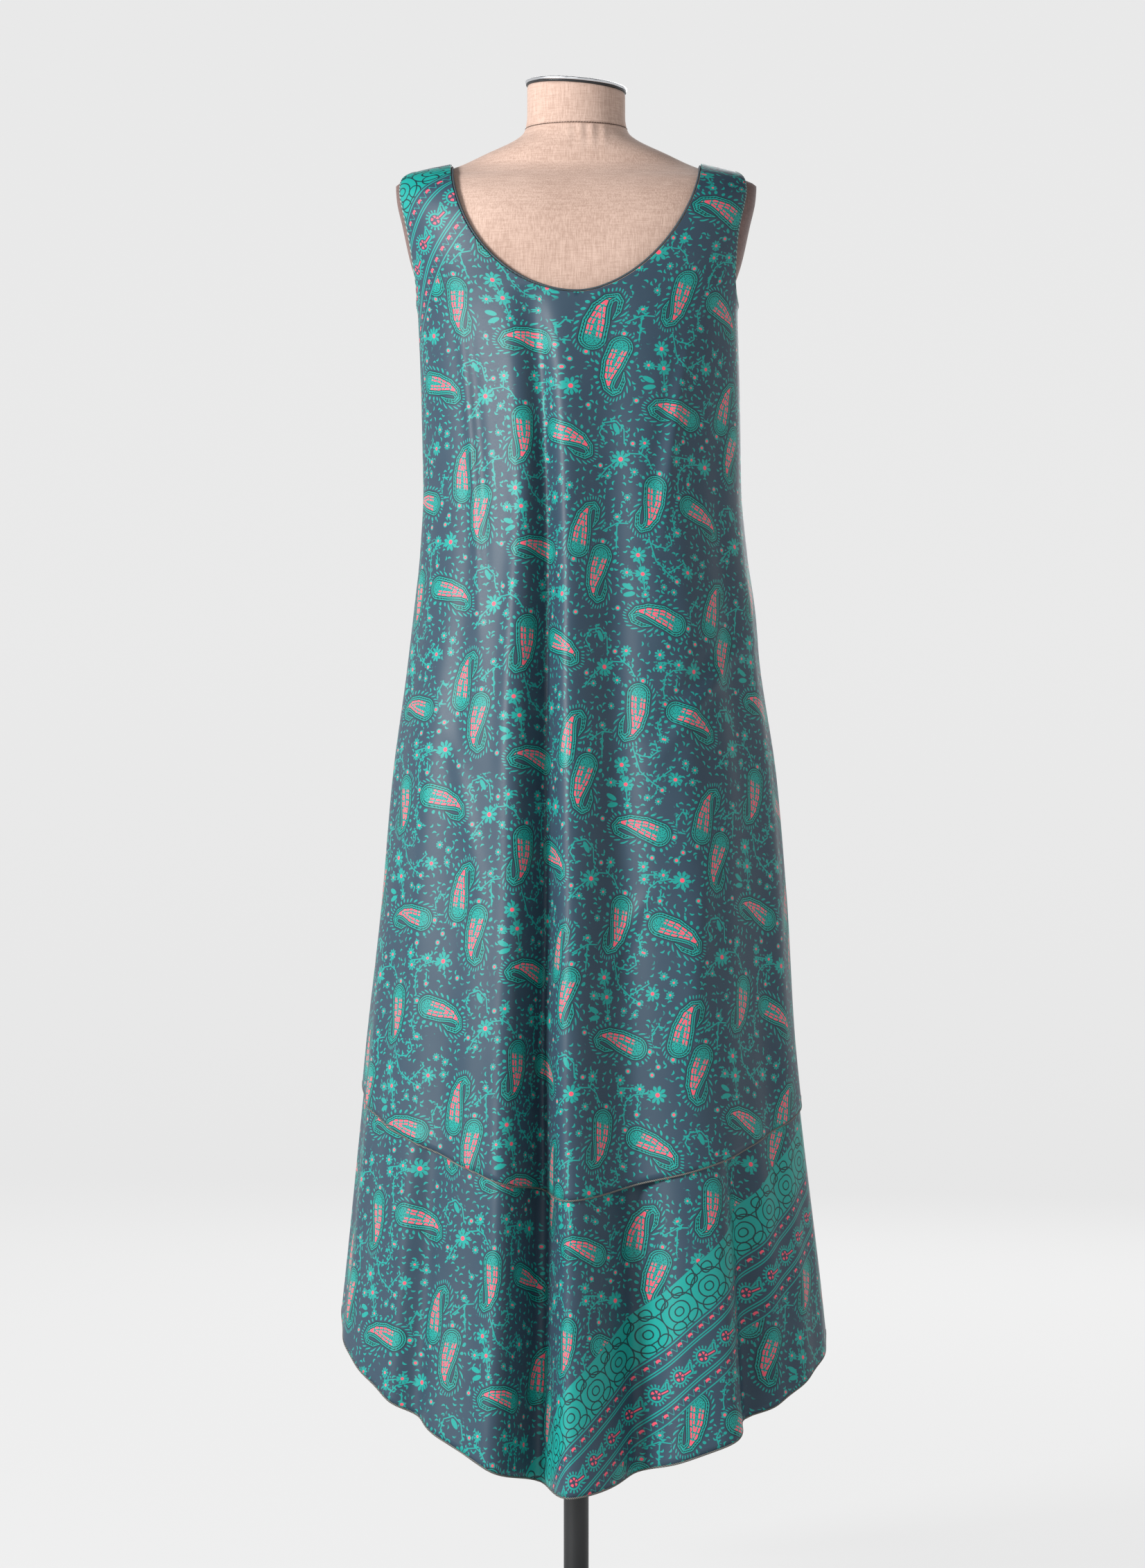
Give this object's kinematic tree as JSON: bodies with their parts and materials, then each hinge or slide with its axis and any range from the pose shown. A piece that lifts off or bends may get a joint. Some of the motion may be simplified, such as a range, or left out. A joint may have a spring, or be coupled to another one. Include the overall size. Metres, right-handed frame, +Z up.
{
  "type": "sleeveless two-layer bias-cut maxi dress on a limbless dress form",
  "caption": "Sleeveless A-line dress of two printed satin layers with rounded pointed hems, hanging in soft flutes on a canvas dress form with a round-footed stand.",
  "frame": {"origin": "centre of the stand foot's underside, on the floor", "axes": "+Z up along the pole; the form's back faces -Y; +X is to the right for someone who looks at the back"},
  "size_m": [0.5227, 0.4646, 1.6709],
  "materials": {
    "print": "satin sari silk, slate ground with a turquoise and coral paisley print",
    "binding": "narrow rolled edge of the same silk",
    "canvas": "beige linen canvas",
    "velvet": "mauve brown velvet",
    "chrome": "polished",
    "steel": "satin black paint"
  },
  "bodies": {
    "root": {"form_torso": "canvas", "form_neck": "canvas", "form_arm_cap_left": "velvet", "form_arm_cap_right": "velvet", "form_neck_cap": "chrome", "stand_foot": "steel", "stand_pole": "steel", "stand_collar": "steel", "dress_outer_back": "print", "dress_outer_front": "print", "dress_under_back": "print", "dress_under_front": "print", "dress_neck_binding": "binding", "dress_armhole_binding_left": "binding", "dress_armhole_binding_right": "binding"}
  },
  "joints": []
}
